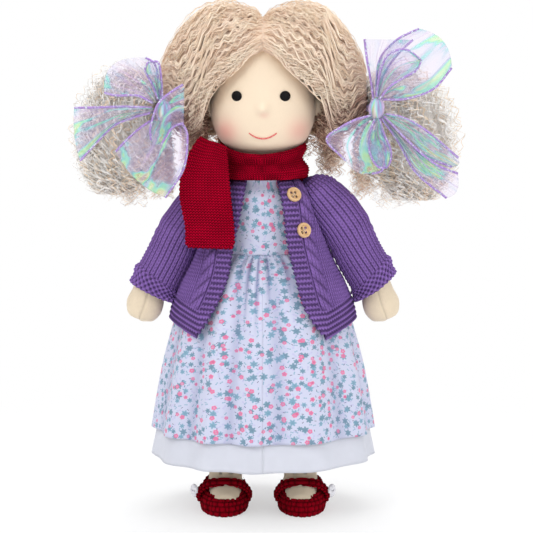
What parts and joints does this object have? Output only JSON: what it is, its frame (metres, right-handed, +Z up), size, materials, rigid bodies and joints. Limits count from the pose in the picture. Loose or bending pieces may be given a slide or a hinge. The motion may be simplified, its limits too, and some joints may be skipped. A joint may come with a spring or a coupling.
{
  "type": "waldorf doll",
  "caption": "Soft stuffed cloth doll with mohair bunches and bows, scarf, knitted cardigan, gathered floral dress, petticoat and crocheted strap shoes.",
  "frame": {"origin": "centre of the standing doll's base, on the floor", "axes": "+Z up, the doll faces -Y, its own left side is at +X"},
  "size_m": [0.304, 0.1594, 0.3985],
  "materials": {
    "skin": "soft cotton jersey",
    "stuffing": "carded wool",
    "mohair": "curly mohair",
    "eye_thread": "glossy embroidery thread",
    "mouth_thread": "embroidery thread",
    "elastic": "covered elastic",
    "organza": "iridescent organza with glitter edges",
    "print_cotton": "printed cotton",
    "white_cotton": "plain cotton",
    "purple_wool": "knitted wool",
    "red_wool": "knitted wool",
    "button_wood": "waxed wood",
    "white_button": "glossy"
  },
  "bodies": {
    "torso": {"torso_skin": "skin", "torso_stuffing": "stuffing", "dress_bodice": "print_cotton", "skirt": "print_cotton", "petticoat": "white_cotton", "cardigan_back": "purple_wool", "cardigan_front_left": "purple_wool", "cardigan_front_right": "purple_wool", "cardigan_button_top": "button_wood", "cardigan_button_bottom": "button_wood", "scarf_wrap": "red_wool"},
    "head": {"head_skin": "skin", "head_stuffing": "stuffing", "ear_left": "skin", "ear_right": "skin", "eye_left": "eye_thread", "eye_right": "eye_thread", "mouth_stitch": "mouth_thread", "hair_cap": "mohair"},
    "scarf_front_end": {"scarf_front_end": "red_wool"},
    "scarf_back_end": {"scarf_back_end": "red_wool"},
    "arm_left": {"arm_left_skin": "skin", "arm_left_stuffing": "stuffing", "sleeve_left": "purple_wool"},
    "leg_left": {"leg_left_skin": "skin", "leg_left_stuffing": "stuffing", "shoe_left": "red_wool", "shoe_strap_left": "red_wool", "shoe_button_left": "white_button"},
    "bunch_left": {"bunch_left": "mohair", "hair_tie_left": "elastic", "bow_left": "organza"},
    "arm_right": {"arm_right_skin": "skin", "arm_right_stuffing": "stuffing", "sleeve_right": "purple_wool"},
    "leg_right": {"leg_right_skin": "skin", "leg_right_stuffing": "stuffing", "shoe_right": "red_wool", "shoe_strap_right": "red_wool", "shoe_button_right": "white_button"},
    "bunch_right": {"bunch_right": "mohair", "hair_tie_right": "elastic", "bow_right": "organza"}
  },
  "joints": [
    {"name": "neck_turn", "type": "hinge", "parent": "torso", "child": "head", "pos_m": [0, 0, 0.254], "axis": [0, 0, 1], "range_deg": [-25, 25]},
    {"name": "shoulder_left", "type": "hinge", "parent": "torso", "child": "arm_left", "pos_m": [0.043, 0, 0.25], "axis": [-1, 0, 0], "range_deg": [-35, 75]},
    {"name": "hip_left", "type": "hinge", "parent": "torso", "child": "leg_left", "pos_m": [0.024, 0, 0.132], "axis": [-1, 0, 0], "range_deg": [-15, 90], "deforming": ["skirt", "petticoat"]},
    {"name": "bunch_left_swing", "type": "hinge", "parent": "head", "child": "bunch_left", "pos_m": [0.08, 0, 0.321], "axis": [0, -1, 0], "range_deg": [-15, 10]},
    {"name": "shoulder_right", "type": "hinge", "parent": "torso", "child": "arm_right", "pos_m": [-0.043, 0, 0.25], "axis": [-1, 0, 0], "range_deg": [-35, 75], "deforming": ["scarf_front_end"]},
    {"name": "hip_right", "type": "hinge", "parent": "torso", "child": "leg_right", "pos_m": [-0.024, 0, 0.132], "axis": [-1, 0, 0], "range_deg": [-15, 90], "deforming": ["skirt", "petticoat"]},
    {"name": "bunch_right_swing", "type": "hinge", "parent": "head", "child": "bunch_right", "pos_m": [-0.08, 0, 0.321], "axis": [0, 1, 0], "range_deg": [-15, 10]},
    {"name": "scarf_front_lift", "type": "hinge", "parent": "torso", "child": "scarf_front_end", "pos_m": [-0.041, -0.0375, 0.285], "axis": [-1, 0, 0], "range_deg": [0, 60]},
    {"name": "scarf_back_lift", "type": "hinge", "parent": "torso", "child": "scarf_back_end", "pos_m": [0.0205, 0.0385, 0.284], "axis": [1, 0, 0], "range_deg": [0, 60]}
  ]
}
